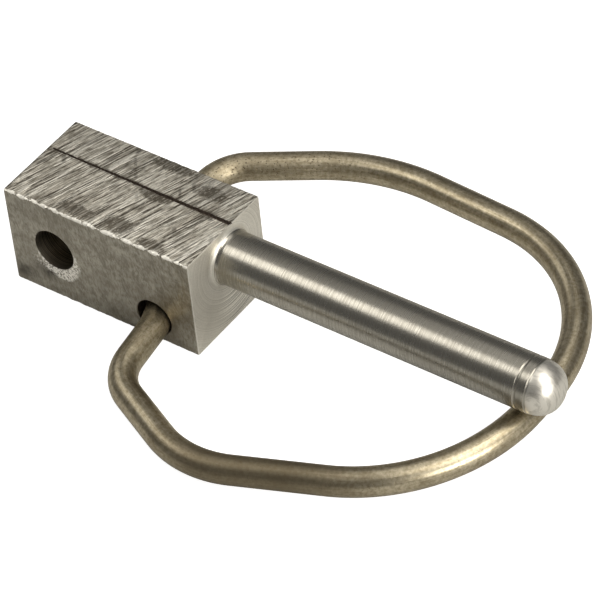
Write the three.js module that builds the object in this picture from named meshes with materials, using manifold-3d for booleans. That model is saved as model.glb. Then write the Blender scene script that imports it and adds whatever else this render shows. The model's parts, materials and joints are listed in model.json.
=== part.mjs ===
// Hitch pin lock: a square head on a round pin, with a bent wire ring that swings from the head and
// closes under the pin's nose, so that the pin can't slide back out of its hole.
//
// Millimetres. +X runs along the pin to its nose, +Z is up, and the origin is the middle of the head's
// underside. The shoulder is the head's end face, which the pin stands out of.

import * as THREE from 'three';
import { mergeVertices } from 'three/addons/utils/BufferGeometryUtils.js';
import Module from 'manifold-3d';

// Head: a length of square bar
const BAR_SIDE = 20;
const HEAD_LENGTH = 38;
const EDGE_RADIUS = 0.4;
const END_BREAK = 0.15;
const SHOULDER_X = HEAD_LENGTH / 2;

// Pin: turned round bar, pressed into a bore that lies high in the head. Its root flares into a thin
// collar, which sits flush in a counterbore, so that a bracket can lie flat on the shoulder.
const PIN_RADIUS = 4.7;
const PIN_REACH = 64.2;
const PIN_HEIGHT = 13.9;
const PIN_SIDE_SHIFT = 0.8;
const SHANK_DEPTH = 19;
const SHANK_CHAMFER = 0.8;
const ROOT_FILLET = 1;
const COLLAR_THICKNESS = 0.5;
const NOSE_LENGTH = 4.2;
const NOSE_CHAMFER = 0.25;
const NOSE_FLAT = 0.9;
const GROOVE_FROM_TIP = 6;
const GROOVE_WIDTH = 0.6;
const GROOVE_DEPTH = 0.15;
const SEAT_GAP = 0.3;
const COLLAR_GAP = 0.2;

// Holes in the head, each placed by its distance back from the shoulder and its height
const LOCK_HOLE = { radius: 4, back: 28.8, height: 10.3, chamfer: 0.4 };
const RING_HOLE = { radius: 3.5, depth: 5, chamfer: 0.3 };
const NEAR_RING_HOLE = { back: 8.6, height: 4.65 };
const FAR_RING_HOLE = { back: 14.8, height: 5.5 };
const DRILL_POINT_HALF_ANGLE = THREE.MathUtils.degToRad(59);

// Seam: the thin wall over the bore has split, wide at the shoulder and closing towards the rear
const SEAM_DEPTH = 0.7;
const SEAM_SHOULDER = { side: 2.05, width: 0.7 };
const SEAM_REAR = { back: 37.2, side: 2.4, width: 0.2 };

// Ring: round spring wire, bent flat. It turns about the line through its two legs, which enter the
// head at different distances from the shoulder, so the ring is sprung when it passes the nose.
const WIRE_RADIUS = 2.5;
const PIVOT_DEPTH = 1.5;
const LEG_BEYOND_PIVOT = 2.1;
const NOSE_CROSSING_REACH = 57.3;
const CLOSED_GAP = 0.3;

// The ring's corners, leg to leg, in its own plane: how far ahead of the turning line, how far along
// it from the near pivot, and the radius of the bend
const RING_CORNERS = [
  { ahead: 0, along: -3.2, radius: 6 },
  { ahead: -3.1, along: -15.5, radius: 9 },
  { ahead: 13.4, along: -32.2, radius: 18.7 },
  { ahead: 57.4, along: -32.0, radius: 31.2 },
  { ahead: 78.1, along: 16.6, radius: 28.7 },
  { ahead: 28.5, along: 39.2, radius: 38.5 },
  { ahead: -2.6, along: 34.6, radius: 8.2 },
  { ahead: 0, along: 21.3, radius: 6 },
];

const ROUND_FACETS = 48;
const HOLE_FACETS = 32;
const WIRE_FACETS = 16;
const RING_STEPS = 120;
const OVERCUT = 1;

const wasm = await Module();
wasm.setup();

function toSolid(geometry) {
  const bare = geometry.clone();
  bare.deleteAttribute('normal');
  bare.deleteAttribute('uv');
  const merged = mergeVertices(bare, 1e-4);
  const vertProperties = new Float32Array(merged.attributes.position.array);
  const triVerts = new Uint32Array(merged.index.array);
  return new wasm.Manifold(new wasm.Mesh({ numProp: 3, vertProperties, triVerts }));
}

function toGeometry(solid) {
  const mesh = solid.getMesh();
  const geometry = new THREE.BufferGeometry();
  geometry.setAttribute('position', new THREE.BufferAttribute(mesh.vertProperties, 3));
  geometry.setIndex(new THREE.BufferAttribute(mesh.triVerts, 1));
  geometry.computeVertexNormals();
  return geometry;
}

// A solid of revolution about +X from [distance along X, radius] pairs that start and end at radius 0
function turned(profile, facets) {
  const points = profile.map(([along, radius]) => new THREE.Vector2(radius, along));
  return new THREE.LatheGeometry(points, facets).rotateZ(-Math.PI / 2);
}

// Points of a quarter ellipse about [centreX, centreR], from startAngle on
function quarterArc(centreX, centreR, radiusX, radiusR, startAngle, steps) {
  return Array.from({ length: steps + 1 }, (_, step) => {
    const angle = startAngle + (step / steps) * (Math.PI / 2);
    return [centreX + radiusX * Math.cos(angle), centreR + radiusR * Math.sin(angle)];
  });
}

function roundedSquare(side, radius) {
  const reach = side / 2 - radius;
  const outline = new THREE.Shape();
  outline.absarc(reach, reach, radius, 0, Math.PI / 2);
  outline.absarc(-reach, reach, radius, Math.PI / 2, Math.PI);
  outline.absarc(-reach, -reach, radius, Math.PI, 1.5 * Math.PI);
  outline.absarc(reach, -reach, radius, 1.5 * Math.PI, 2 * Math.PI);
  outline.closePath();
  return outline;
}

function barStock() {
  const stock = new THREE.ExtrudeGeometry(roundedSquare(BAR_SIDE, EDGE_RADIUS), {
    depth: HEAD_LENGTH - 2 * END_BREAK,
    bevelThickness: END_BREAK,
    bevelSize: END_BREAK,
    bevelOffset: -END_BREAK,
    bevelSegments: 1,
    curveSegments: 3,
  });
  return stock.rotateY(Math.PI / 2).translate(-SHOULDER_X + END_BREAK, 0, BAR_SIDE / 2);
}

// The pin's bore, with its collar's counterbore and the cone that the drill's point leaves at its end
function boreCutter() {
  const radius = PIN_RADIUS + SEAT_GAP;
  const depth = SHANK_DEPTH + SEAT_GAP;
  const point = radius / Math.tan(DRILL_POINT_HALF_ANGLE);
  const collarRadius = PIN_RADIUS + ROOT_FILLET + COLLAR_GAP;
  const collarDepth = COLLAR_THICKNESS + SEAT_GAP;
  const profile = [
    [-depth - point, 0],
    [-depth, radius],
    [-collarDepth, radius],
    [-collarDepth, collarRadius],
    [OVERCUT, collarRadius],
    [OVERCUT, 0],
  ];
  return turned(profile, ROUND_FACETS).translate(SHOULDER_X, PIN_SIDE_SHIFT, PIN_HEIGHT);
}

// A chamfered cross hole, sunk from the face at y = +side * BAR_SIDE / 2; a through hole runs past both
function crossHoleCutter({ radius, chamfer, back, height, depth }, side) {
  const face = BAR_SIDE / 2;
  const flare = radius + chamfer + OVERCUT;
  const mouth = [[face - chamfer, radius], [face + OVERCUT, flare], [face + OVERCUT, 0]];
  const bottom = depth
    ? [[face - depth - radius / Math.tan(DRILL_POINT_HALF_ANGLE), 0], [face - depth, radius]]
    : [[-face - OVERCUT, 0], [-face - OVERCUT, flare], [-face + chamfer, radius]];
  const cutter = turned([...bottom, ...mouth], HOLE_FACETS).rotateZ(side * Math.PI / 2);
  return cutter.translate(SHOULDER_X - back, 0, height);
}

function seamCutter() {
  const outline = new THREE.Shape();
  const front = SHOULDER_X + OVERCUT;
  const rear = SHOULDER_X - SEAM_REAR.back;
  outline.moveTo(front, SEAM_SHOULDER.side + SEAM_SHOULDER.width / 2);
  outline.lineTo(rear, SEAM_REAR.side + SEAM_REAR.width / 2);
  outline.lineTo(rear, SEAM_REAR.side - SEAM_REAR.width / 2);
  outline.lineTo(front, SEAM_SHOULDER.side - SEAM_SHOULDER.width / 2);
  outline.closePath();
  const cut = new THREE.ExtrudeGeometry(outline, { depth: SEAM_DEPTH + OVERCUT, bevelEnabled: false });
  return cut.translate(0, 0, BAR_SIDE - SEAM_DEPTH);
}

function headBlockGeometry() {
  const cutters = [
    boreCutter(),
    crossHoleCutter(LOCK_HOLE, 1),
    crossHoleCutter({ ...RING_HOLE, ...NEAR_RING_HOLE }, -1),
    crossHoleCutter({ ...RING_HOLE, ...FAR_RING_HOLE }, 1),
    seamCutter(),
  ];
  let head = toSolid(barStock());
  for (const cutter of cutters) {
    head = head.subtract(toSolid(cutter));
  }
  return toGeometry(head);
}

// The pin's profile, measured from the shoulder
function hitchPinGeometry() {
  const noseStart = PIN_REACH - NOSE_LENGTH;
  const groove = PIN_REACH - GROOVE_FROM_TIP;
  const domeRadius = PIN_RADIUS - NOSE_CHAMFER;
  const collarRadius = PIN_RADIUS + ROOT_FILLET;
  const rootFillet = quarterArc(ROOT_FILLET, collarRadius, ROOT_FILLET, ROOT_FILLET, Math.PI, 5);
  const dome = quarterArc(
    noseStart + NOSE_CHAMFER, NOSE_FLAT, NOSE_LENGTH - NOSE_CHAMFER, domeRadius - NOSE_FLAT, 0, 9,
  ).reverse();
  return turned([
    [-SHANK_DEPTH, 0],
    [-SHANK_DEPTH, PIN_RADIUS - SHANK_CHAMFER],
    [-SHANK_DEPTH + SHANK_CHAMFER, PIN_RADIUS],
    [-COLLAR_THICKNESS, PIN_RADIUS],
    [-COLLAR_THICKNESS, collarRadius],
    ...rootFillet,
    [groove - GROOVE_WIDTH / 2, PIN_RADIUS],
    [groove - GROOVE_WIDTH / 4, PIN_RADIUS - GROOVE_DEPTH],
    [groove + GROOVE_WIDTH / 4, PIN_RADIUS - GROOVE_DEPTH],
    [groove + GROOVE_WIDTH / 2, PIN_RADIUS],
    [noseStart, PIN_RADIUS],
    ...dome,
    [PIN_REACH, 0],
  ], ROUND_FACETS);
}

// The ring's own axes: along the line through its two pivots, and ahead to where it passes the nose
function ringFrame() {
  const inset = BAR_SIDE / 2 - PIVOT_DEPTH;
  const near = new THREE.Vector3(SHOULDER_X - NEAR_RING_HOLE.back, -inset, NEAR_RING_HOLE.height);
  const far = new THREE.Vector3(SHOULDER_X - FAR_RING_HOLE.back, inset, FAR_RING_HOLE.height);
  const crossing = new THREE.Vector3(
    SHOULDER_X + NOSE_CROSSING_REACH,
    PIN_SIDE_SHIFT,
    PIN_HEIGHT - PIN_RADIUS - CLOSED_GAP - WIRE_RADIUS,
  );
  const along = far.clone().sub(near).normalize();
  const reach = crossing.sub(near);
  const ahead = reach.addScaledVector(along, -reach.dot(along)).normalize();
  const up = new THREE.Vector3().crossVectors(ahead, along);
  return { near, span: near.distanceTo(far), axes: new THREE.Matrix4().makeBasis(ahead, along, up) };
}

// Adds the arc that rounds one corner of the wire; the path draws the straight up to it by itself
function addBend(path, before, corner, after) {
  const point = new THREE.Vector2(corner.ahead, corner.along);
  const back = new THREE.Vector2(before.ahead, before.along).sub(point).normalize();
  const on = new THREE.Vector2(after.ahead, after.along).sub(point).normalize();
  const halfAngle = Math.acos(back.dot(on)) / 2;
  const trim = corner.radius / Math.tan(halfAngle);
  const toCentre = back.clone().add(on).setLength(corner.radius / Math.sin(halfAngle));
  const start = back.clone().multiplyScalar(trim).sub(toCentre).angle();
  const end = on.clone().multiplyScalar(trim).sub(toCentre).angle();
  const clockwise = back.cross(on) > 0;
  path.absarc(point.x + toCentre.x, point.y + toCentre.y, corner.radius, start, end, clockwise);
}

// The wire's centre line, as a curve in the ring's plane
class WireLine extends THREE.Curve {
  constructor(corners) {
    super();
    this.path = new THREE.Path().moveTo(corners[0].ahead, corners[0].along);
    for (let i = 1; i < corners.length - 1; i += 1) {
      addBend(this.path, corners[i - 1], corners[i], corners[i + 1]);
    }
    this.path.lineTo(corners.at(-1).ahead, corners.at(-1).along);
  }

  getPoint(fraction, target = new THREE.Vector3()) {
    const point = this.path.getPoint(fraction);
    return target.set(point.x, point.y, 0);
  }
}

function snapRingGeometry(span) {
  const nearEnd = { ahead: 0, along: LEG_BEYOND_PIVOT };
  const farEnd = { ahead: 0, along: span - LEG_BEYOND_PIVOT };
  const section = new THREE.Shape().absarc(0, 0, WIRE_RADIUS, 0, 2 * Math.PI);
  return new THREE.ExtrudeGeometry(section, {
    steps: RING_STEPS,
    curveSegments: WIRE_FACETS / 2,
    extrudePath: new WireLine([nearEnd, ...RING_CORNERS, farEnd]),
  });
}

function metalMesh(name, geometry, color, roughness) {
  const material = new THREE.MeshStandardMaterial({ color, roughness, metalness: 1 });
  const mesh = new THREE.Mesh(geometry, material);
  mesh.name = name;
  return mesh;
}

const headBlock = metalMesh('head_block', headBlockGeometry(), 0x9d988b, 0.45);

const hitchPin = metalMesh('hitch_pin', hitchPinGeometry(), 0x8d8a84, 0.3);
hitchPin.position.set(SHOULDER_X, PIN_SIDE_SHIFT, PIN_HEIGHT);

const { near: nearPivot, span: pivotSpan, axes: ringAxes } = ringFrame();
const snapRing = metalMesh('snap_ring', snapRingGeometry(pivotSpan), 0x7c7559, 0.4);
const ringGroup = new THREE.Group();
ringGroup.position.copy(nearPivot);
ringGroup.quaternion.setFromRotationMatrix(ringAxes);
ringGroup.add(snapRing);

const hitchPinLock = new THREE.Group();
hitchPinLock.add(headBlock, hitchPin, ringGroup);

export default hitchPinLock;
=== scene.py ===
"""Hitch pin lock: a square bar head, a turned pin pressed into it and a bent spring-wire ring that
swings from the head and closes under the pin's nose. Metres; +X runs along the pin, +Z is up."""

import json
import math

import bmesh
import bpy
from mathutils import Matrix, Vector, noise


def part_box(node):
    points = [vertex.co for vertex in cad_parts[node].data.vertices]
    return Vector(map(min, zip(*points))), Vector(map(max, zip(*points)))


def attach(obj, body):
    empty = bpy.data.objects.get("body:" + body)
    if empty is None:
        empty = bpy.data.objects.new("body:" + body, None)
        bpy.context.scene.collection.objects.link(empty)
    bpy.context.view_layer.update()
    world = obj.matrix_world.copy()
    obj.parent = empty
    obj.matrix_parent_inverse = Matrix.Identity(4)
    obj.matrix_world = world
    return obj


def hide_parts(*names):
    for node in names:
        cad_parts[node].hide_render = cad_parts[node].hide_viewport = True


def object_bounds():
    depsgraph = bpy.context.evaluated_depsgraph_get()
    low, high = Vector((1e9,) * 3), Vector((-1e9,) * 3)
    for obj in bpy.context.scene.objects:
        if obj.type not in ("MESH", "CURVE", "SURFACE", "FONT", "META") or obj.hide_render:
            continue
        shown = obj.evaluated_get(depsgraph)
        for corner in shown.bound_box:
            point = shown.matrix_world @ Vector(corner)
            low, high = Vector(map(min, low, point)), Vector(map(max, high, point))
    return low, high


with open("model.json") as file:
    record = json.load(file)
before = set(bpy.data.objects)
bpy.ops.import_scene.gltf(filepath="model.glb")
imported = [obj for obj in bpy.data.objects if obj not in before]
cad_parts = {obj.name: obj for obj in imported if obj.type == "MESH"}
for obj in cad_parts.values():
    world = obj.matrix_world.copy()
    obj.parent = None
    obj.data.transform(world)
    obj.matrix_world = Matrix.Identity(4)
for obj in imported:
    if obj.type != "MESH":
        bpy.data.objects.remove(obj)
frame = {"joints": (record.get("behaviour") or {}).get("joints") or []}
cad_low, cad_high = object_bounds()

MM = 0.001
X, Y, Z = Vector((1, 0, 0)), Vector((0, 1, 0)), Vector((0, 0, 1))
FRONT, BACK = -1, 1

# ---------------------------------------------------------------- sizes

head_low, head_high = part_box("head_block")
PIN_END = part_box("hitch_pin")[1].x

BAR_SIDE = head_high.z - head_low.z
HEAD_LENGTH = head_high.x - head_low.x
SHOULDER = head_high.x
EDGE_RADIUS = 0.4 * MM
END_BREAK = 0.15 * MM
BAR_LOOPS = 190
# side, height, depth of the wear, its seed and the height of a burr's beads
EDGE_WEAR = [
    (FRONT, BAR_SIDE, 0.1 * MM, 3, 0.4 * MM),
    (BACK, BAR_SIDE, 0.06 * MM, 17, 0),
    (FRONT, 0, 0.08 * MM, 31, 0),
    (BACK, 0, 0.05 * MM, 47, 0),
]

LOCK_HOLE = {"radius": 4 * MM, "back": 28.8 * MM, "height": 10.3 * MM, "chamfer": 0.15 * MM}
NEAR_RING_HOLE = {"radius": 3.5 * MM, "back": 8.6 * MM, "height": 4.65 * MM, "chamfer": 0.12 * MM}
FAR_RING_HOLE = {"radius": 3.5 * MM, "back": 14.8 * MM, "height": 5.5 * MM, "chamfer": 0.12 * MM}
RING_HOLE_DEPTH = 5 * MM
DRILL_POINT = math.radians(59)
HOLE_TURNS = 72
OVERCUT = 1 * MM

SEAM_DEPTH = 0.7 * MM
SEAM_MIDDLE = 2.2 * MM
SEAM_SHOULDER = {"side": 2.05 * MM, "width": 0.8 * MM}
SEAM_REAR = {"back": 37.2 * MM, "side": 2.4 * MM, "width": 0.32 * MM}
SEAM_LOOPS = 90
SEAM_WANDER = 0.07 * MM

PIN_RADIUS = 4.7 * MM
PIN_TIP = PIN_END - SHOULDER
PIN_AXIS = Vector((SHOULDER, 0.8 * MM, 13.9 * MM))
PIN_TURNS = 128
PIN_LOOPS = 40
SHANK_SHOWN = 2 * MM
ROOT_FILLET = 1.3 * MM
ROOT_SUNK = 0.2 * MM
NOSE_LENGTH = 4.2 * MM
NOSE_EDGE = 0.12 * MM
NOSE_FLAT = 0.9 * MM
GROOVE_FROM_TIP = 6 * MM
# distance along the pin from the groove's middle, and depth, in millimetres
GROOVE_SECTION = [(-0.34, 0), (-0.2, 0.11), (0, 0.15), (0.2, 0.11), (0.34, 0)]

WIRE_RADIUS = 2.5 * MM
WIRE_SIDES = 40
WIRE_STEP = 0.8 * MM
WIRE_END_BREAK = 0.3 * MM
LEG_SPAN = 18.11 * MM
LEG_BEYOND_PIVOT = 2.1 * MM
NOSE_CROSSING = 57.3 * MM
CLOSED_GAP = 0.3 * MM
# ahead of and along the pivot line, and bend radius, in millimetres
RING_CORNERS = [
    (0.0, -3.2, 6.0),
    (-3.1, -15.5, 9.0),
    (13.4, -32.2, 18.7),
    (57.4, -32.0, 31.2),
    (78.1, 16.6, 28.7),
    (28.5, 39.2, 38.5),
    (-2.6, 34.6, 8.2),
    (0.0, 21.3, 6.0),
]

# ---------------------------------------------------------------- mesh tools


def piece_from(bm, name):
    """A new object holding the mesh that was modelled in bm."""
    mesh = bpy.data.meshes.new(name)
    bm.to_mesh(mesh)
    bm.free()
    piece = bpy.data.objects.new(name, mesh)
    bpy.context.scene.collection.objects.link(piece)
    return piece


def chain(bm, points):
    """Vertices at the points and the edges from each to the next."""
    verts = [bm.verts.new(p) for p in points]
    return verts + [bm.edges.new(pair) for pair in zip(verts, verts[1:])]


def turned(profile, centre, axis, turns):
    """A solid of revolution; its profile is (distance along the axis, radius) pairs and starts
    and ends on the axis."""
    bm = bmesh.new()
    line = chain(bm, [centre + axis * along + Z * radius for along, radius in profile])
    bmesh.ops.spin(
        bm, geom=line, cent=centre, axis=axis, angle=math.tau, steps=turns, use_merge=True
    )
    bmesh.ops.remove_doubles(bm, verts=bm.verts, dist=1e-7)
    bmesh.ops.recalc_face_normals(bm, faces=bm.faces)
    return bm


def quarter_arc(along, radius, reach_along, reach_radius, start, steps):
    """Profile points on a quarter of an ellipse."""
    angles = [start + math.pi / 2 * step / steps for step in range(steps + 1)]
    return [
        (along + reach_along * math.cos(a), radius + reach_radius * math.sin(a)) for a in angles
    ]


def bevelled(bm, edges, size, segments):
    """Rounds the edges, or breaks them."""
    bmesh.ops.bevel(
        bm,
        geom=edges,
        offset=size,
        offset_type="OFFSET",
        affect="EDGES",
        segments=segments,
        profile=0.5,
        material=-1,
    )


def cut_out(piece, cutters):
    """Cuts the cutters out of the piece and removes them."""
    for cutter in cutters:
        cut = piece.modifiers.new(cutter.name, "BOOLEAN")
        cut.operation = "DIFFERENCE"
        cut.solver = "EXACT"
        cut.object = cutter
    done = piece.evaluated_get(bpy.context.evaluated_depsgraph_get())
    mesh = bpy.data.meshes.new_from_object(done)
    piece.modifiers.clear()
    piece.data = mesh
    for cutter in cutters:
        bpy.data.objects.remove(cutter)


def smooth_below(piece, degrees):
    """Smooth shading that stops at edges sharper than the angle."""
    piece.data.shade_smooth()
    piece.data.set_sharp_from_angle(angle=math.radians(degrees))


# ---------------------------------------------------------------- head


def long_edges(bm):
    """The edges that run the length of the head."""
    return [e for e in bm.edges if abs(e.verts[0].co.x - e.verts[1].co.x) > HEAD_LENGTH / 2]


def rim_edges(bm):
    """The edges round the two end faces."""
    return [e for e in bm.edges if any(abs(f.normal.x) > 0.9 for f in e.link_faces)]


def hammer_edge(bm, side, height, deep, seed, beads):
    """Rolls one long edge of the bar up and down, as a worn edge is, and raises a burr's beads."""
    corner = Vector((0, side * BAR_SIDE / 2, height))
    out = Vector((0, side, 1 if height > BAR_SIDE / 2 else -1)).normalized()

    def ripple(at, per_mm, shift):
        return noise.noise(Vector((at.x / MM * per_mm, seed + shift, 0)))

    for v in bm.verts:
        if (v.co - corner).yz.length < 0.8 * EDGE_RADIUS:
            wear = 0.9 * ripple(v.co, 0.75, 0) + 0.6 * ripple(v.co, 2.3, 9)
            bead = max(0.0, ripple(v.co, 1.9, 21))
            v.co += out * (deep * wear + beads * bead)


def bar_stock():
    """The bar, its long edges rounded, its ends broken, and its front top edge burred."""
    bm = bmesh.new()
    bmesh.ops.create_cube(bm, size=1)
    bmesh.ops.scale(bm, vec=(HEAD_LENGTH, BAR_SIDE, BAR_SIDE), verts=bm.verts)
    bmesh.ops.translate(bm, vec=(0, 0, BAR_SIDE / 2), verts=bm.verts)
    bevelled(bm, long_edges(bm), EDGE_RADIUS, 3)
    bevelled(bm, rim_edges(bm), END_BREAK, 2)
    bmesh.ops.subdivide_edges(bm, edges=long_edges(bm), cuts=BAR_LOOPS, use_grid_fill=True)
    for wear in EDGE_WEAR:
        hammer_edge(bm, *wear)
    return piece_from(bm, "square_head")


def hole_cutter(hole, side, depth=None):
    """A drill with a chamfered mouth, sunk from one side; right through without a depth."""
    face = BAR_SIDE / 2
    flare = hole["radius"] + hole["chamfer"] + OVERCUT
    mouth = [(face - hole["chamfer"], hole["radius"]), (face + OVERCUT, flare), (face + OVERCUT, 0)]
    if depth:
        point = hole["radius"] / math.tan(DRILL_POINT)
        bottom = [(face - depth - point, 0), (face - depth, hole["radius"])]
    else:
        bottom = [(-a, r) for a, r in reversed(mouth)]
    centre = Vector((SHOULDER - hole["back"], 0, hole["height"]))
    return piece_from(turned(bottom + mouth, centre, Y * side, HOLE_TURNS), "drill")


def seam_cutter():
    """The thin split over the pin's bore, wide at the shoulder and closing towards the rear."""
    bm = bmesh.new()
    front, rear = SHOULDER + OVERCUT, SHOULDER - SEAM_REAR["back"]
    corners = [
        (front, SEAM_SHOULDER["side"] - SEAM_SHOULDER["width"] / 2),
        (front, SEAM_SHOULDER["side"] + SEAM_SHOULDER["width"] / 2),
        (rear, SEAM_REAR["side"] + SEAM_REAR["width"] / 2),
        (rear, SEAM_REAR["side"] - SEAM_REAR["width"] / 2),
    ]
    bottom, top = BAR_SIDE - SEAM_DEPTH, BAR_SIDE + OVERCUT
    face = bm.faces.new([bm.verts.new((x, y, bottom)) for x, y in corners])
    walls = bmesh.ops.extrude_face_region(bm, geom=[face])["geom"]
    lifted = [v for v in walls if isinstance(v, bmesh.types.BMVert)]
    bmesh.ops.translate(bm, vec=(0, 0, top - bottom), verts=lifted)
    bmesh.ops.recalc_face_normals(bm, faces=bm.faces)
    bmesh.ops.subdivide_edges(bm, edges=long_edges(bm), cuts=SEAM_LOOPS, use_grid_fill=True)
    for v in bm.verts:
        v.co.y += SEAM_WANDER * noise.noise(Vector((v.co.x / MM * 1.1, v.co.y / MM * 4, 5)))
    return piece_from(bm, "seam")


def inside_hole(point, hole):
    across = Vector((point.x - (SHOULDER - hole["back"]), point.z - hole["height"]))
    return across.length < hole["radius"] + hole["chamfer"] * 0.9


HEAD_FINISHES = ["sanded_top", "drawn_side", "faced_end", "drilled_hole", "dark_seam"]
SKIN = 0.02 * MM
END_SKIN = 0.05 * MM
SEAM_SLACK = 0.1 * MM
SEAM_REACH = 0.8 * MM


def in_seam(at, normal):
    """Whether a face is one of the seam's walls or its floor."""
    if not BAR_SIDE - SEAM_DEPTH - SEAM_SLACK < at.z < BAR_SIDE - SKIN:
        return False
    near = abs(at.y - SEAM_MIDDLE) < SEAM_REACH and abs(at.x) < SHOULDER - END_SKIN
    return near and (abs(normal.y) > 0.6 or normal.z > 0.9)


def finish_of(face):
    """Which of the head's finishes a face has."""
    at, normal = face.center, face.normal
    if in_seam(at, normal):
        return "dark_seam"
    if abs(at.y) < BAR_SIDE / 2 - SKIN:
        for hole in (LOCK_HOLE, NEAR_RING_HOLE, FAR_RING_HOLE):
            if inside_hole(at, hole):
                on_chamfer = abs(at.y) > BAR_SIDE / 2 - hole["chamfer"]
                return "drawn_side" if on_chamfer else "drilled_hole"
    if abs(normal.x) > 0.8:
        return "faced_end"
    if normal.z > 0.8:
        return "sanded_top"
    return "drawn_side"


def square_head():
    head = bar_stock()
    cut_out(
        head,
        [
            hole_cutter(LOCK_HOLE, BACK),
            hole_cutter(NEAR_RING_HOLE, FRONT, RING_HOLE_DEPTH),
            hole_cutter(FAR_RING_HOLE, BACK, RING_HOLE_DEPTH),
            seam_cutter(),
        ],
    )
    smooth_below(head, 24)
    for finish in HEAD_FINISHES:
        head.data.materials.append(bpy.data.materials[finish])
    for face in head.data.polygons:
        face.material_index = HEAD_FINISHES.index(finish_of(face))
    return head


# ---------------------------------------------------------------- pin


def hitch_pin():
    """The pin, from inside its bore out over the root fillet to the domed nose."""
    nose = PIN_TIP - NOSE_LENGTH
    groove = PIN_TIP - GROOVE_FROM_TIP
    dome = quarter_arc(
        nose + NOSE_EDGE,
        NOSE_FLAT,
        NOSE_LENGTH - NOSE_EDGE,
        PIN_RADIUS - NOSE_EDGE - NOSE_FLAT,
        0,
        28,
    )
    fillet = quarter_arc(
        ROOT_FILLET, PIN_RADIUS + ROOT_FILLET, ROOT_FILLET, ROOT_FILLET, math.pi, 12
    )
    shank = [
        (ROOT_FILLET + (groove - ROOT_FILLET) * n / PIN_LOOPS, PIN_RADIUS)
        for n in range(1, PIN_LOOPS)
    ]
    profile = [
        (-SHANK_SHOWN, 0),
        (-SHANK_SHOWN, PIN_RADIUS),
        (-ROOT_SUNK, PIN_RADIUS),
        (-ROOT_SUNK, PIN_RADIUS + ROOT_FILLET),
        *fillet,
        *shank,
        *[(groove + along * MM, PIN_RADIUS - deep * MM) for along, deep in GROOVE_SECTION],
        (nose - NOSE_EDGE / 2, PIN_RADIUS),
        (nose, PIN_RADIUS - 0.05 * MM),
        *reversed(dome),
        (PIN_TIP, 0),
    ]
    pin = piece_from(turned(profile, PIN_AXIS, X, PIN_TURNS), "turned_pin")
    smooth_below(pin, 28)
    for finish in ("turned_pin", "faced_end"):
        pin.data.materials.append(bpy.data.materials[finish])
    for face in pin.data.polygons:
        off_axis = (face.center - PIN_AXIS).yz.length
        face.material_index = int(off_axis > PIN_RADIUS + 0.3 * MM)
    return pin


# ---------------------------------------------------------------- ring


def ring_axes():
    """The ring's own axes from its near pivot: ahead to the nose, along the line through its
    legs, and up."""
    swing = frame["joints"][0]
    near, along = Vector(swing["pos_m"]), Vector(swing["axis"]).normalized()
    under_nose = PIN_AXIS.z - PIN_RADIUS - CLOSED_GAP - WIRE_RADIUS
    reach = Vector((SHOULDER + NOSE_CROSSING, PIN_AXIS.y, under_nose)) - near
    ahead = (reach - along * reach.dot(along)).normalized()
    up = ahead.cross(along)
    return Matrix.Translation(near) @ Matrix((ahead, along, up)).transposed().to_4x4()


def bend(before, corner, after, radius):
    """Where the wire starts and ends a bend, the bend's centre, and its turn, positive to the
    left."""
    back, on = (before - corner).normalized(), (after - corner).normalized()
    half = back.angle(on) / 2
    trim = radius / math.tan(half)
    centre = corner + (back + on).normalized() * radius / math.sin(half)
    turn = math.pi - 2 * half
    left = back.x * on.y - back.y * on.x < 0
    return corner + back * trim, corner + on * trim, centre, turn if left else -turn


def wire_ring():
    """The ring: the wire's round section pushed along each straight and swept round each bend."""
    ends = [Vector((0, LEG_BEYOND_PIVOT)), Vector((0, LEG_SPAN - LEG_BEYOND_PIVOT))]
    corners = [Vector((ahead, along)) * MM for ahead, along, _ in RING_CORNERS]
    stops = [ends[0], *corners, ends[1]]
    bm = bmesh.new()
    bmesh.ops.create_circle(bm, radius=WIRE_RADIUS, segments=WIRE_SIDES)
    upright = Matrix.Rotation(math.pi / 2, 3, "X")
    bmesh.ops.rotate(bm, cent=(0, 0, 0), matrix=upright, verts=bm.verts)
    bmesh.ops.translate(bm, vec=ends[0].to_3d(), verts=bm.verts)
    tip = bm.edges[:]
    at, travelled = ends[0], [0.0]

    def sweep(edges, steps, step_length, **motion):
        for _ in range(steps):
            travelled.append(travelled[-1] + step_length)
        last = bmesh.ops.spin(bm, geom=edges, steps=steps, use_merge=False, **motion)["geom_last"]
        return [e for e in last if isinstance(e, bmesh.types.BMEdge)]

    def push(edges, start, end):
        steps = max(1, round((end - start).length / WIRE_STEP))
        step = (end - start).to_3d() / steps
        return sweep(edges, steps, step.length, cent=(0, 0, 0), axis=Z, angle=0, dvec=step)

    for i, (_, _, radius) in enumerate(RING_CORNERS, 1):
        start, end, centre, turn = bend(*stops[i - 1 : i + 2], radius * MM)
        tip = push(tip, at, start)
        steps = max(6, round(abs(turn) * radius * MM / WIRE_STEP))
        arc_step = abs(turn) / steps * radius * MM
        tip = sweep(tip, steps, arc_step, cent=centre.to_3d(), axis=Z, angle=turn)
        at = end
    push(tip, at, ends[1])
    keep_straight_wire(bm, travelled)
    close_ends(bm)
    bmesh.ops.transform(bm, matrix=ring_axes(), verts=bm.verts)
    ring = piece_from(bm, "wire_ring")
    smooth_below(ring, 40)
    ring.data.materials.append(bpy.data.materials["aged_wire"])
    return ring


def keep_straight_wire(bm, travelled):
    """Keeps where each vertex would be on the unbent wire, for the marks that drawing it left."""
    place = bm.verts.layers.float_vector.new("straight_wire")
    bm.verts.index_update()
    for v in bm.verts:
        section, side = divmod(v.index, WIRE_SIDES)
        turn = math.tau * side / WIRE_SIDES
        v[place] = (travelled[section], WIRE_RADIUS * math.cos(turn), WIRE_RADIUS * math.sin(turn))


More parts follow.
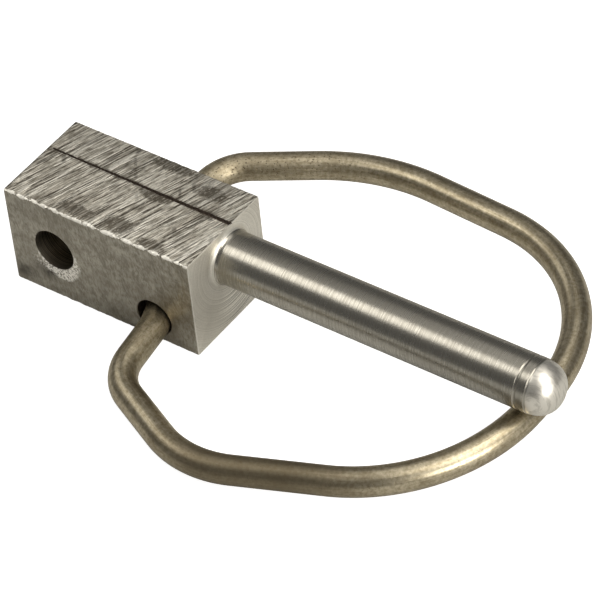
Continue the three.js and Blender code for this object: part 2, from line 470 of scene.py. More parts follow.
def close_ends(bm):
    """Caps both cut ends of the wire and breaks their edges."""
    open_edges = [e for e in bm.edges if e.is_boundary]
    bmesh.ops.holes_fill(bm, edges=open_edges, sides=0)
    bevelled(bm, open_edges, WIRE_END_BREAK, 2)
    bmesh.ops.recalc_face_normals(bm, faces=bm.faces)


# ---------------------------------------------------------------- material tools


def node(tree, kind, inputs=None, **settings):
    """Adds a node; inputs are values or the sockets that feed them."""
    made = tree.nodes.new("ShaderNode" + kind)
    for name, value in settings.items():
        setattr(made, name, value)
    for name, value in (inputs or {}).items():
        if isinstance(value, bpy.types.NodeSocket):
            tree.links.new(value, made.inputs[name])
        else:
            made.inputs[name].default_value = value
    return made


def maths(tree, operation, *values):
    return node(tree, "Math", dict(enumerate(values)), operation=operation).outputs[0]


def times(tree, a, b):
    return maths(tree, "MULTIPLY", a, b)


def vectors(tree, operation, *values):
    """A vector maths node's outputs: the vector, and the value that LENGTH gives."""
    return node(tree, "VectorMath", dict(enumerate(values)), operation=operation).outputs


def summed(tree, *weighted):
    """The sum of (value, weight) pairs."""
    total = 0.0
    for value, weight in weighted:
        total = maths(tree, "MULTIPLY_ADD", value, weight, total)
    return total


def between(tree, value, low, high, out_low=0.0, out_high=1.0):
    """Spreads low..high smoothly over out_low..out_high."""
    inputs = {
        "Value": value, "From Min": low, "From Max": high, "To Min": out_low, "To Max": out_high
    }
    return node(tree, "MapRange", inputs, interpolation_type="SMOOTHSTEP").outputs["Result"]


def noisy(tree, place, scale, detail, roughness=0.6):
    inputs = {"Vector": place, "Scale": scale, "Detail": detail, "Roughness": roughness}
    return node(tree, "TexNoise", inputs).outputs[0]


def colour(red, green, blue):
    return (red, green, blue, 1)


def mixed(tree, amount, a, b):
    """Colour a where amount is 0, b where it is 1."""
    return node(tree, "Mix", {0: amount, 6: a, 7: b}, data_type="RGBA").outputs[2]


def stained(tree, base, *stains):
    """The base with stains laid over it in turn: (where, how strongly, colour)."""
    for where, amount, tint in stains:
        base = mixed(tree, times(tree, where, amount), base, tint)
    return base


# ---------------------------------------------------------------- effects the finishes share


def group(name, inputs, outputs):
    """A node group with float or vector inputs, and its input and output nodes."""
    tree = bpy.data.node_groups.new(name, "ShaderNodeTree")
    for label, kind in inputs.items():
        tree.interface.new_socket(label, in_out="INPUT", socket_type="NodeSocket" + kind)
    for label in outputs:
        tree.interface.new_socket(label, in_out="OUTPUT", socket_type="NodeSocketFloat")
    return tree, tree.nodes.new("NodeGroupInput").outputs, tree.nodes.new("NodeGroupOutput").inputs


def laid_out(tree, given):
    """The group's place, turned and divided by its size."""
    inputs = {"Vector": given["Place"], "Rotation": given["Turn"], "Scale": given["Size"]}
    return node(tree, "Mapping", inputs, vector_type="TEXTURE").outputs[0]


def marks_group():
    """Fine parallel marks, as long and as narrow as their size, after a turn about an axis."""
    tree, given, out = group(
        "parallel_marks",
        {"Place": "Vector", "Turn": "Vector", "Size": "Vector", "Detail": "Float"},
        ["Mark"],
    )
    laid = laid_out(tree, given)
    tree.links.new(noisy(tree, laid, 1, given["Detail"], 0.62), out["Mark"])


def strokes_group():
    """Separate straight strokes of an abrasive, side by side, each with its own strength, width
    and ends."""
    tree, given, out = group(
        "abrasive_strokes",
        {"Place": "Vector", "Turn": "Vector", "Size": "Vector", "Share": "Float"},
        ["Stroke"],
    )
    across, along, _ = node(tree, "SeparateXYZ", {0: laid_out(tree, given)}).outputs
    line = maths(tree, "FLOOR", across)
    shift = node(tree, "TexWhiteNoise", {"W": line}, noise_dimensions="1D").outputs["Value"]
    along = maths(tree, "MULTIPLY_ADD", shift, 37.0, along)
    stretch = maths(tree, "FLOOR", along)
    which = node(tree, "CombineXYZ", {0: line, 1: stretch})
    dice = node(tree, "TexWhiteNoise", {"Vector": which.outputs[0]}, noise_dimensions="2D").outputs
    strength, width, _ = node(tree, "SeparateColor", {0: dice["Color"]}).outputs
    rarest = maths(tree, "SUBTRACT", 1.0, given["Share"])
    there = between(tree, dice["Value"], rarest, maths(tree, "ADD", rarest, 0.08))
    off_line = maths(tree, "ABSOLUTE", maths(tree, "SUBTRACT", maths(tree, "FRACT", across), 0.5))
    half_width = maths(tree, "MULTIPLY_ADD", width, 0.28, 0.2)
    profile = between(tree, off_line, half_width, times(tree, half_width, 0.35))
    travelled = maths(tree, "FRACT", along)
    ends = times(
        tree, between(tree, travelled, 0.0, 0.12), between(tree, travelled, 1.0, 0.6)
    )
    stroke = times(tree, times(tree, profile, ends), there)
    stroke = times(tree, stroke, maths(tree, "MULTIPLY_ADD", strength, 0.65, 0.35))
    tree.links.new(stroke, out["Stroke"])


def pits_group():
    """Small pits with uneven rims, thickest in patches."""
    tree, given, out = group(
        "fine_pits", {"Place": "Vector", "Spacing": "Float", "Share": "Float"}, ["Pit"]
    )
    place = given["Place"]
    per_metre = maths(tree, "DIVIDE", 1.0, given["Spacing"])
    wander = noisy(tree, place, times(tree, per_metre, 3.0), 1, 0.5)
    cells = node(tree, "TexVoronoi", {"Vector": place, "Scale": per_metre, "Randomness": 1})
    rim = maths(tree, "MULTIPLY_ADD", wander, 1.1, -0.28)
    dot = between(tree, cells.outputs["Distance"], rim, times(tree, rim, 0.4))
    patches = noisy(tree, place, times(tree, per_metre, 0.23), 2)
    edge = maths(tree, "SUBTRACT", 1.0, given["Share"])
    here = between(tree, patches, edge, maths(tree, "ADD", edge, 0.12))
    tree.links.new(times(tree, dot, here), out["Pit"])


def tarnish_group():
    """Soft uneven patches of tarnish."""
    tree, given, out = group(
        "tarnish",
        {"Place": "Vector", "Size": "Float", "From": "Float", "To": "Float"},
        ["Stain"],
    )
    cloud = noisy(tree, given["Place"], maths(tree, "DIVIDE", 1.0, given["Size"]), 5)
    tree.links.new(between(tree, cloud, given["From"], given["To"]), out["Stain"])


def patch_group():
    """One soft oval patch, 1 in its middle."""
    tree, given, out = group(
        "soft_patch", {"Place": "Vector", "Middle": "Vector", "Shrink": "Vector"}, ["Patch"]
    )
    from_middle = vectors(tree, "SUBTRACT", given["Place"], given["Middle"])[0]
    unit = vectors(tree, "MULTIPLY", from_middle, given["Shrink"])[0]
    away = vectors(tree, "LENGTH", unit)["Value"]
    tree.links.new(between(tree, away, 1.0, 0.15), out["Patch"])


def rings_group():
    """The rings that a lathe tool or a drill leaves, which change only with a distance."""
    tree, given, out = group(
        "tool_rings",
        {"Distance": "Float", "Pitch": "Float", "Detail": "Float", "Roughness": "Float"},
        ["Ring"],
    )
    inputs = {
        "W": maths(tree, "DIVIDE", given["Distance"], given["Pitch"]),
        "Scale": 1,
        "Detail": given["Detail"],
        "Roughness": given["Roughness"],
    }
    rings = node(tree, "TexNoise", inputs, noise_dimensions="1D")
    tree.links.new(rings.outputs[0], out["Ring"])


def edges_group():
    """Worn: how near a point on the bar is to one of its edges, 1 on the edge and 0 past the
    width. Burr: uneven beads along the front top edge."""
    tree, given, out = group(
        "worn_edges",
        {"Place": "Vector", "Width": "Float", "Raggedness": "Float"},
        ["Worn", "Burr"],
    )
    place = given["Place"]
    reach = vectors(tree, "ABSOLUTE", vectors(tree, "SUBTRACT", place, (0, 0, BAR_SIDE / 2))[0])[0]
    half = (HEAD_LENGTH / 2, BAR_SIDE / 2, BAR_SIDE / 2)
    inset = vectors(tree, "SUBTRACT", half, reach)[0]
    in_x, in_y, in_z = node(tree, "SeparateXYZ", {0: inset}).outputs
    nearest = maths(tree, "MINIMUM", maths(tree, "MINIMUM", in_x, in_y), in_z)
    farthest = maths(tree, "MAXIMUM", maths(tree, "MAXIMUM", in_x, in_y), in_z)
    total = maths(tree, "ADD", maths(tree, "ADD", in_x, in_y), in_z)
    away = maths(tree, "SUBTRACT", maths(tree, "SUBTRACT", total, nearest), farthest)
    ragged = maths(tree, "SUBTRACT", noisy(tree, place, 900, 3), 0.5)
    wander = times(tree, ragged, given["Raggedness"])
    worn = between(tree, maths(tree, "ADD", away, wander), given["Width"], 0.0)
    tree.links.new(worn, out["Worn"])
    off_corner = vectors(tree, "SUBTRACT", place, (0, -BAR_SIDE / 2, BAR_SIDE))[0]
    off_edge = vectors(tree, "MULTIPLY", off_corner, (0, 1, 1))[0]
    distance = vectors(tree, "LENGTH", off_edge)["Value"]
    beads = noisy(tree, place, 700, 2, 0.55)
    width = between(tree, beads, 0.38, 0.60, 0.16 * MM, 0.66 * MM)
    tree.links.new(between(tree, distance, width, times(tree, width, 0.6)), out["Burr"])


for build_group in (
    marks_group, strokes_group, pits_group, tarnish_group, patch_group, rings_group, edges_group
):
    build_group()


def use(tree, name, inputs):
    """Places one of the groups in a material."""
    return node(tree, "Group", inputs, node_tree=bpy.data.node_groups[name]).outputs


def shifted(tree, place, seed):
    return vectors(tree, "ADD", place, (seed, seed, seed))[0]


def marks(tree, place, size, detail, turn=(0, 0, 0)):
    """Parallel marks; their size along X, Y and Z is in millimetres."""
    size = [length * MM for length in size]
    inputs = {"Place": place, "Turn": turn, "Size": size, "Detail": detail}
    return use(tree, "parallel_marks", inputs)["Mark"]


def pitted(tree, place, spacing, share):
    inputs = {"Place": place, "Spacing": spacing * MM, "Share": share}
    return use(tree, "fine_pits", inputs)["Pit"]


def tarnished(tree, place, size, start, end, seed=0.0):
    inputs = {"Place": shifted(tree, place, seed), "Size": size * MM, "From": start, "To": end}
    return use(tree, "tarnish", inputs)["Stain"]


def patch(tree, place, middle, reach):
    """A soft patch in millimetres; an axis whose reach is 0 is ignored."""
    shrink = [1 / (size * MM) if size else 0 for size in reach]
    inputs = {"Place": place, "Middle": Vector(middle) * MM, "Shrink": shrink}
    return use(tree, "soft_patch", inputs)["Patch"]


def tool_rings(tree, distance, pitch, detail=2, roughness=0.5):
    inputs = {
        "Distance": distance, "Pitch": pitch * MM, "Detail": detail, "Roughness": roughness
    }
    return use(tree, "tool_rings", inputs)["Ring"]


def edge_wear(tree, place, width, raggedness):
    inputs = {"Place": place, "Width": width * MM, "Raggedness": raggedness * MM}
    return use(tree, "worn_edges", inputs)


def metal(name):
    """A bare metal material: its node tree, its shader and the object's own coordinates."""
    material = bpy.data.materials.new(name)
    material.use_nodes = True
    tree = material.node_tree
    shader = tree.nodes["Principled BSDF"]
    shader.inputs["Metallic"].default_value = 1.0
    place = node(tree, "TexCoord").outputs["Object"]
    return tree, shader, place


def raised(tree, shader, height, depth):
    """Feeds the height, 0 to 1, to the shader's surface, depth metres high."""
    bump = node(tree, "Bump", {"Height": height, "Distance": depth, "Strength": 1.0})
    tree.links.new(bump.outputs[0], shader.inputs["Normal"])


def finish(tree, shader, **sockets):
    """Feeds the shader's sockets; an underscore stands for a space in a socket's name."""
    for label, value in sockets.items():
        tree.links.new(value, shader.inputs[label.replace("_", " ")])


# ---------------------------------------------------------------- the head's finishes

# The burr's beads are bare filed metal, painted near white, rough and only partly metal as a
# painted glint.
BURR_GLINT_WHITE = colour(0.97, 0.94, 0.86)
BURR_METAL = 0.25
BURR_ROUGH = 0.7

SANDING_LEAN = 18
# lean in degrees, spacing and length of the strokes in millimetres, the share that shows, the
# seed, and the strength: bright strokes above 0, dark ones below
SANDING_PASSES = [
    (18, 0.5, 6, 0.5, 0.11, 0.95),
    (19.5, 0.44, 5, 0.42, 0.23, -0.9),
    (16, 0.62, 9, 0.42, 0.37, 0.95),
    (21, 0.6, 7, 0.3, 0.41, -0.92),
    (23, 0.5, 6, 0.3, 0.53, 0.95),
    (14.5, 0.8, 11, 0.3, 0.67, 0.97),
    (18.5, 0.7, 8, 0.22, 0.79, -0.92),
    (-38, 1.2, 3, 0.07, 0.97, -0.8),
]
# middle and reach of each patch, in millimetres
MISSED_BY_SANDING = [
    ((-4.7, -8.0, 0), (5.5, 2.6, 0)),
    ((3.2, -7.4, 0), (5.5, 3.2, 0)),
    ((10.8, -8.6, 0), (5.0, 2.2, 0)),
    ((2.5, 9.0, 0), (8.0, 2.6, 0)),
    ((12.0, 6.5, 0), (5.0, 2.8, 0)),
    ((4.0, 1.2, 0), (6.0, 1.8, 0)),
]


def sanding_pass(tree, place, lean, spacing, length, share, seed):
    """Strokes across the bar that lean a number of degrees towards the pin."""
    inputs = {
        "Place": shifted(tree, place, seed),
        "Turn": (0, 0, -math.radians(lean)),
        "Size": (spacing * MM, length * MM, 1),
        "Share": share,
    }
    return use(tree, "abrasive_strokes", inputs)["Stroke"]


def sanded_top():
    """Coarse hand sanding across the bar in overlapping strokes, dark where the strokes missed."""
    tree, shader, place = metal("sanded_top")
    along_strokes = (0, 0, -math.radians(SANDING_LEAN))
    grain = marks(tree, place, (0.22, 2.2, 4), 4, along_strokes)
    crumbs = marks(tree, place, (0.35, 0.8, 0.5), 3, along_strokes)
    broken = between(tree, crumbs, 0.36, 0.52, 0.4, 1.0)
    missed = times(tree, tarnished(tree, place, 6, 0.46, 0.62, 0.9), 0.38)
    ragged = between(tree, crumbs, 0.32, 0.60, 0.35, 1.0)
    for middle, reach in MISSED_BY_SANDING:
        bare = times(tree, patch(tree, place, middle, reach), ragged)
        missed = maths(tree, "MAXIMUM", missed, bare)
    missed = between(tree, missed, 0.22, 0.62)
    smudge = tarnished(tree, place, 1.8, 0.42, 0.66, 0.7)
    worked = between(tree, missed, 0, 1, 1.0, 0.25)
    # Partly painted light: the top's colours run much lighter than the sides', as the light from
    # above would make it, besides its sanded grain.
    base = mixed(
        tree,
        between(tree, grain, 0.36, 0.64),
        colour(0.36, 0.325, 0.265),
        colour(0.92, 0.87, 0.76),
    )
    base = stained(
        tree,
        base,
        (missed, 0.9, colour(0.15, 0.13, 0.10)),
        (smudge, 0.35, colour(0.17, 0.15, 0.115)),
    )
    height = times(tree, grain, 0.4)
    bright, dark = colour(0.99, 0.955, 0.86), colour(0.075, 0.064, 0.048)
    for *strokes, strength in SANDING_PASSES:
        stroke = sanding_pass(tree, place, *strokes)
        stroke = times(tree, times(tree, stroke, worked), broken)
        base = stained(tree, base, (stroke, abs(strength), bright if strength > 0 else dark))
        height = maths(tree, "MULTIPLY_ADD", stroke, math.copysign(0.5, strength), height)
    side = node(tree, "SeparateXYZ", {0: place}).outputs[1]
    off_seam = maths(tree, "ABSOLUTE", maths(tree, "SUBTRACT", side, SEAM_MIDDLE))
    by_seam = between(tree, off_seam, 0.85 * MM, 0.3 * MM)
    smeared = between(tree, smudge, 0, 1, 0.25, 0.8)
    edges = edge_wear(tree, place, 0.35, 0.6)
    base = stained(
        tree,
        base,
        (by_seam, smeared, colour(0.10, 0.082, 0.062)),
        (edges["Worn"], 0.6, colour(0.12, 0.105, 0.08)),
        # painted glint: the burr's beads painted near white
        (edges["Burr"], 0.9, BURR_GLINT_WHITE),
    )
    rough = between(tree, edges["Burr"], 0, 1, 0.52, BURR_ROUGH)
    bare = between(tree, edges["Burr"], 0, 1, 1.0, BURR_METAL)
    height = maths(tree, "MULTIPLY_ADD", times(tree, edges["Burr"], crumbs), 1.5, height)
    finish(tree, shader, Base_Color=base, Roughness=rough, Metallic=bare)
    raised(tree, shader, height, 0.05 * MM)


# middle and reach of each patch, in millimetres; it shows on the front and the back
SIDE_PATCHES = {
    "scraped": ((-12.6, 0, 6.9), (3.0, 0, 2.2)),
    "by_ring": ((13.5, 0, 6.5), (9, 0, 8)),
    "under_hole": ((-12.2, 0, 4.9), (4.2, 0, 2.9)),
    "by_corner": ((-17.2, 0, 2.8), (4.6, 0, 2.4)),
}
RUBBED_SPOT = (SHOULDER - LOCK_HOLE["back"] + 0.85 * MM, 0, LOCK_HOLE["height"] - 1.75 * MM)
RUBBED_RADIUS = 5.4 * MM
RUBBED_CORE = 4.7 * MM


def drawn_side():
    """The bar's sides: fine and matte, darker and browner low down, rubbed bright under the lock
    hole.
    """
    tree, shader, place = metal("drawn_side")
    grain = marks(tree, place, (0.3, 0.3, 0.9), 3, (0, math.radians(-12), 0))
    mottle = marks(tree, place, (1.5, 1.5, 1.5), 5)
    crumbs = marks(tree, place, (0.42, 0.42, 0.42), 2)
    cloud = tarnished(tree, place, 5, 0.38, 0.68)
    brown = tarnished(tree, place, 3, 0.40, 0.66, 0.3)
    along, _, up = node(tree, "SeparateXYZ", {0: place}).outputs
    low_down = between(tree, up, 4.5 * MM, 0.2 * MM)
    to_rear = between(tree, along, 0.0, -12 * MM)
    pits = pitted(tree, place, 0.45, 0.5)
    from_spot = vectors(tree, "SUBTRACT", place, RUBBED_SPOT)[0]
    in_face = vectors(tree, "MULTIPLY", from_spot, (1, 0, 1))[0]
    off_spot = vectors(tree, "LENGTH", in_face)["Value"]
    off_spot = maths(tree, "MULTIPLY_ADD", mottle, 1.6 * MM, off_spot)
    rubbed = between(tree, off_spot, RUBBED_RADIUS, RUBBED_CORE)
    rubbed_through = times(tree, rubbed, between(tree, crumbs, 0.34, 0.56))
    patches = {name: patch(tree, place, *spot) for name, spot in SIDE_PATCHES.items()}
    scraped = times(tree, patches["scraped"], between(tree, crumbs, 0.50, 0.58))
    clouded = times(tree, patches["by_ring"], between(tree, cloud, 0, 1, 0.5, 1.0))
    smeared = between(tree, brown, 0, 1, 0.55, 1.0)
    edges = edge_wear(tree, place, 0.25, 0.5)
    shade = summed(tree, (grain, 0.55), (mottle, 0.45))
    base = mixed(
        tree,
        between(tree, shade, 0.36, 0.64),
        colour(0.26, 0.238, 0.193),
        colour(0.495, 0.466, 0.396),
    )
    base = stained(
        tree,
        base,
        (to_rear, 0.06, colour(0.62, 0.59, 0.52)),
        (cloud, 0.45, colour(0.22, 0.197, 0.155)),
        (clouded, 0.5, colour(0.17, 0.14, 0.1)),
        # darker and browner towards the bottom of the sides
        (times(tree, low_down, brown), 0.6, colour(0.14, 0.117, 0.088)),
        (pits, 0.55, colour(0.10, 0.088, 0.068)),
        (patches["under_hole"], smeared, colour(0.055, 0.048, 0.038)),
        (times(tree, patches["by_corner"], smeared), 0.85, colour(0.09, 0.08, 0.062)),
        (rubbed_through, 0.95, colour(0.97, 0.94, 0.87)),
        (scraped, 0.75, colour(0.9, 0.87, 0.8)),
        (edges["Worn"], 0.35, colour(0.6, 0.57, 0.5)),
        # painted glint: the burr's beads painted near white
        (edges["Burr"], 0.9, BURR_GLINT_WHITE),
    )
    rough = between(tree, edges["Burr"], 0, 1, 0.5, BURR_ROUGH)
    bright = maths(tree, "MAXIMUM", edges["Burr"], times(tree, rubbed_through, 0.5))
    bare = between(tree, bright, 0, 1, 1.0, BURR_METAL)
    finish(tree, shader, Base_Color=base, Roughness=rough, Metallic=bare)
    bumps = summed(
        tree,
        (grain, 0.7),
        (mottle, 0.5),
        (pits, -0.8),
        (times(tree, rubbed, crumbs), 3.0),
        (times(tree, edges["Burr"], crumbs), 3.0),
    )
    raised(tree, shader, bumps, 0.022 * MM)


COARSE_ARCS = ((0, 5.5, 3.5), (0, 12, 10.5))
# middle and reach of a patch of painted shade over the front part of the end face, in millimetres
END_SHADE_PATCH = ((0, -8, 9), (0, 9, 16))


def faced_end():
    """A faced end: turning arcs about the pin, coarsest low on the far side."""
    tree, shader, place = metal("faced_end")
    off_axis = vectors(tree, "SUBTRACT", place, PIN_AXIS)[0]
    in_face = vectors(tree, "MULTIPLY", off_axis, (0, 1, 1))[0]
    radius = vectors(tree, "LENGTH", in_face)["Value"]
    fine_arcs = tool_rings(tree, radius, 0.18, roughness=0.6)
    wide_arcs = tool_rings(tree, radius, 0.55, roughness=0.6)
    grain = marks(tree, place, (0.15, 0.15, 0.15), 3)
    dull = tarnished(tree, place, 5, 0.45, 0.7)
    pits = pitted(tree, place, 0.5, 0.42)
    worn = edge_wear(tree, place, 0.4, 0.5)["Worn"]
    coarse = between(tree, patch(tree, place, *COARSE_ARCS), 0, 1, 0.2, 1.5)
    painted_shade = patch(tree, place, *END_SHADE_PATCH)
    arc = summed(tree, (fine_arcs, 0.6), (wide_arcs, 0.4))
    off_middle = times(tree, maths(tree, "SUBTRACT", arc, 0.5), coarse)
    cut = summed(tree, (maths(tree, "ADD", off_middle, 0.5), 0.8), (grain, 0.2))
    scored = times(tree, between(tree, fine_arcs, 0.47, 0.40), coarse)
    # Partly painted light: the end's colours run much lighter than the sides', as light falling on
    # the end would make it, besides its turned arcs.
    base = mixed(
        tree,
        between(tree, cut, 0.36, 0.64),
        colour(0.58, 0.55, 0.48),
        colour(0.98, 0.955, 0.875),
    )
    base = stained(
        tree,
        base,
        (scored, 0.75, colour(0.2, 0.18, 0.145)),
        # painted shade over the front part of the end
        (painted_shade, 0.5, colour(0.3, 0.28, 0.235)),
        (dull, 0.12, colour(0.28, 0.26, 0.22)),
        (pits, 0.5, colour(0.2, 0.18, 0.15)),
        (worn, 0.6, colour(0.8, 0.78, 0.74)),
    )
    by_root = between(tree, radius, PIN_RADIUS + 2.2 * MM, PIN_RADIUS + 0.9 * MM)
    rough = between(tree, cut, 0.3, 0.7, 0.58, 0.44)
    rough = maths(tree, "MULTIPLY_ADD", by_root, -0.1, rough)
    bare = between(tree, coarse, 0.2, 1.5, 0.85, 0.42)
    finish(tree, shader, Base_Color=base, Roughness=rough, Metallic=bare)
    raised(tree, shader, summed(tree, (cut, 1.0), (pits, -0.5)), 0.03 * MM)


def drilled_hole():
    """The walls of the cross holes: fine rings that the drill left."""
    tree, shader, place = metal("drilled_hole")
    deep = node(tree, "SeparateXYZ", {0: place}).outputs[1]
    rings = tool_rings(tree, deep, 0.22)
    base = mixed(
        tree,
        between(tree, rings, 0.35, 0.65),
        colour(0.19, 0.165, 0.125),
        colour(0.42, 0.375, 0.30),
    )
    finish(tree, shader, Base_Color=base, Roughness=between(tree, rings, 0.3, 0.7, 0.45, 0.3))
    raised(tree, shader, rings, 0.04 * MM)


def dark_seam():
    """Inside the seam: dull and dirty brown."""
    tree, shader, place = metal("dark_seam")
    shader.inputs["Metallic"].default_value = 0.0
    dirt = tarnished(tree, place, 0.5, 0.4, 0.65)
    base = mixed(tree, dirt, colour(0.06, 0.043, 0.032), colour(0.13, 0.10, 0.075))
    finish(tree, shader, Base_Color=base, Roughness=between(tree, dirt, 0, 1, 0.75, 0.6))
    raised(tree, shader, dirt, 0.03 * MM)


# ---------------------------------------------------------------- the pin's and ring's finishes


def turned_pin():
    """Fine turning rings round the pin, and a nose with a smoother surface and dressing marks, its
    colour partly painted light as a painted highlight.
    """
    tree, shader, place = metal("turned_pin")
    along = node(tree, "SeparateXYZ", {0: place}).outputs[0]
    fine_rings = tool_rings(tree, along, 0.2)
    wide_rings = tool_rings(tree, along, 0.8, detail=3)
    smear = marks(tree, place, (0.2, 2.5, 2.5), 3)
    cut = summed(tree, (fine_rings, 0.42), (wide_rings, 0.13), (smear, 0.45))
    pits = pitted(tree, place, 0.6, 0.36)
    nose = PIN_END - NOSE_LENGTH
    nose_and_sheen = between(tree, along, nose + 0.1 * MM, nose + 0.4 * MM)
    dressing = (0, math.radians(20), math.radians(15))
    dressed = times(tree, marks(tree, place, (2, 0.3, 3), 4, dressing), nose_and_sheen)
    base = mixed(
        tree,
        between(tree, cut, 0.38, 0.62),
        colour(0.36, 0.338, 0.29),
        colour(0.47, 0.45, 0.398),
    )
    base = stained(
        tree,
        base,
        (pits, 0.5, colour(0.2, 0.18, 0.15)),
        # painted highlight: the nose painted much lighter than the barrel, besides its dressed
        # finish
        (nose_and_sheen, 0.8, colour(0.86, 0.83, 0.76)),
        (between(tree, dressed, 0.5, 0.62), 0.4, colour(0.34, 0.32, 0.27)),
    )
    rough = between(tree, cut, 0.3, 0.7, 0.33, 0.25)
    rough = maths(tree, "MULTIPLY_ADD", nose_and_sheen, 0.12, rough)
    height = times(tree, cut, between(tree, nose_and_sheen, 0, 1, 1.0, 0.25))
    height = maths(tree, "MULTIPLY_ADD", dressed, 6.0, height)
    finish(tree, shader, Base_Color=base, Roughness=rough)
    raised(tree, shader, height, 0.0045 * MM)


def stretch_of_wire(tree, travelled, start, full, fading, end):
    """1 along a stretch of the wire, fading out at both ends; distances in millimetres."""
    return times(
        tree,
        between(tree, travelled, start * MM, full * MM),
        between(tree, travelled, end * MM, fading * MM),
    )


def aged_wire():
    """Drawn wire: straw brown, marked along its length, finely pitted, darker and rougher along
    the near straight and corroded near the far leg."""
    tree, shader, place = metal("aged_wire")
    unbent = node(tree, "Attribute", attribute_name="straight_wire").outputs["Vector"]
    drawn = marks(tree, unbent, (8, 0.35, 0.35), 3)
    grain = marks(tree, place, (0.6, 0.6, 0.6), 4)
    travelled = node(tree, "SeparateXYZ", {0: unbent}).outputs[0]
    corroded = stretch_of_wire(tree, travelled, 168, 186, 212, 222)
    near_straight = stretch_of_wire(tree, travelled, 30, 44, 58, 76)
    by_leg = between(tree, travelled, 16 * MM, 6 * MM)
    rusted = maths(tree, "MAXIMUM", corroded, times(tree, by_leg, 0.7))
    pits = pitted(tree, place, 0.45, 0.5)
    rust_pits = pitted(tree, place, 0.55, 0.72)
    rust_pits = times(tree, rust_pits, maths(tree, "MULTIPLY_ADD", rusted, 0.95, 0.05))
    dull = tarnished(tree, place, 4, 0.40, 0.66)
    shade = summed(tree, (drawn, 0.4), (grain, 0.6))
    base = mixed(
        tree,
        between(tree, shade, 0.30, 0.70),
        colour(0.285, 0.238, 0.155),
        colour(0.62, 0.55, 0.405),
    )
    base = stained(
        tree,
        base,
        (dull, 0.35, colour(0.22, 0.175, 0.105)),
        # darker along the near straight
        (near_straight, 0.8, colour(0.155, 0.126, 0.08)),
        (pits, 0.45, colour(0.12, 0.096, 0.06)),
        (rust_pits, 0.85, colour(0.08, 0.062, 0.038)),
    )
    rough = between(tree, maths(tree, "MAXIMUM", near_straight, corroded), 0, 1, 0.35, 0.48)
    finish(tree, shader, Base_Color=base, Roughness=rough)
    bumps = summed(tree, (drawn, 0.3), (grain, 0.6), (pits, -0.7), (rust_pits, -2.0))
    raised(tree, shader, bumps, 0.018 * MM)


for build_finish in (
    sanded_top, drawn_side, faced_end, drilled_hole, dark_seam, turned_pin, aged_wire
):
    build_finish()

# ---------------------------------------------------------------- the object

head = square_head()
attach(head, "head")
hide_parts("head_block")

pin = hitch_pin()
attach(pin, "head")
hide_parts("hitch_pin")

ring = wire_ring()
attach(ring, "ring")
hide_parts("snap_ring")

# ---------------------------------------------------------------- floor, light and camera

FLOOR_SIZE = 4.0
FLOOR_DROP = 0.02 * MM
FLOOR_GREY = colour(0.60, 0.60, 0.59)
FLOOR_GLOW = 0.86


def pale_floor():
    """A matte floor that looks nearly white but throws back only as much light as its grey."""
    bm = bmesh.new()
    bmesh.ops.create_grid(bm, x_segments=1, y_segments=1, size=FLOOR_SIZE / 2)
    bmesh.ops.translate(bm, vec=(0, 0, -FLOOR_DROP), verts=bm.verts)
    floor = piece_from(bm, "pale_floor")
    material = bpy.data.materials.new("pale_floor")
    material.use_nodes = True
    tree = material.node_tree
    shader = tree.nodes["Principled BSDF"]
    shader.inputs["Base Color"].default_value = FLOOR_GREY
    shader.inputs["Roughness"].default_value = 0.9
    shader.inputs["Emission Color"].default_value = colour(1, 1, 1)
    seen = node(tree, "LightPath").outputs["Is Camera Ray"]
    tree.links.new(times(tree, seen, FLOOR_GLOW), shader.inputs["Emission Strength"])
    floor.data.materials.append(material)


WARM_WHITE = (1.0, 0.972, 0.915)
SKY_WHITE = colour(1.0, 0.99, 0.97)
SKY_STRENGTH = 0.13
# direction from the object, distance, width, length and watts
SOFTBOXES = {
    "overhead": ((-0.46, -0.32, 0.83), 0.6, 0.28, 0.26, 0.62),
    "left_side": ((-0.76, 0.05, 0.65), 0.6, 0.28, 0.28, 0.25),
    "nose_side": ((0.52, 0.0, 0.85), 0.6, 0.36, 0.40, 1.9),
    "low_right": ((0.85, -0.25, 0.30), 0.7, 0.30, 0.20, 2.6),
    "ceiling": ((0.0, 0.32, 0.95), 0.8, 0.6, 0.6, 1.1),
}


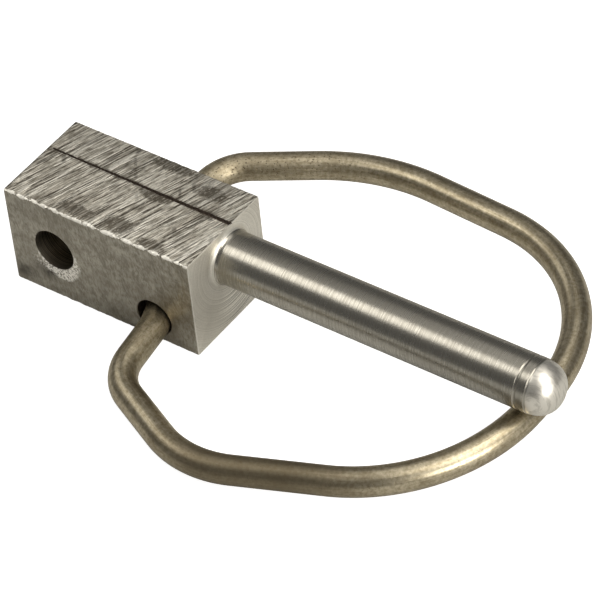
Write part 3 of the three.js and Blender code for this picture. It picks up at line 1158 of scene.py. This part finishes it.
def softbox(name, towards, distance, width, length, watts):
    """A soft rectangular light that faces the object from the direction towards."""
    light = bpy.data.lights.new(name, "AREA")
    light.shape = "RECTANGLE"
    light.size, light.size_y, light.energy = width, length, watts
    light.color = WARM_WHITE
    box = bpy.data.objects.new(name, light)
    back = Vector(towards).normalized()
    box.location = (cad_low + cad_high) / 2 + back * distance
    box.rotation_euler = back.to_track_quat("Z", "Y").to_euler()
    bpy.context.scene.collection.objects.link(box)


def studio():
    world = bpy.data.worlds.new("studio")
    world.use_nodes = True
    sky = world.node_tree.nodes["Background"]
    sky.inputs["Color"].default_value = SKY_WHITE
    sky.inputs["Strength"].default_value = SKY_STRENGTH
    bpy.context.scene.world = world
    for name, settings in SOFTBOXES.items():
        softbox(name, *settings)


CAMERA_TARGET = Vector((31.16, 2.91, 8.0)) * MM
CAMERA_AROUND = math.radians(39.3154)
CAMERA_ABOVE = math.radians(43.0478)
CAMERA_ROLL = math.radians(-6.2072)
CAMERA_DISTANCE = 608.4 * MM
CAMERA_LENS = 222.83
CAMERA_SENSOR = 36


def camera():
    """Looks at the target from around and above it, rolled a little about its own view."""
    data = bpy.data.cameras.new("camera")
    data.lens, data.sensor_width = CAMERA_LENS, CAMERA_SENSOR
    data.clip_start, data.clip_end = 0.01, 20
    eye = bpy.data.objects.new("camera", data)
    level = math.cos(CAMERA_ABOVE)
    back = Vector(
        (math.sin(CAMERA_AROUND) * level, -math.cos(CAMERA_AROUND) * level, math.sin(CAMERA_ABOVE))
    )
    right = Vector((math.cos(CAMERA_AROUND), math.sin(CAMERA_AROUND), 0))
    right = Matrix.Rotation(CAMERA_ROLL, 3, back) @ right
    turn = Matrix((right, back.cross(right), back)).transposed()
    eye.matrix_world = Matrix.Translation(CAMERA_TARGET + back * CAMERA_DISTANCE) @ turn.to_4x4()
    bpy.context.scene.collection.objects.link(eye)
    bpy.context.scene.camera = eye


pale_floor()
studio()
camera()
bpy.context.scene.view_settings.view_transform = "Standard"

bpy.context.view_layer.update()
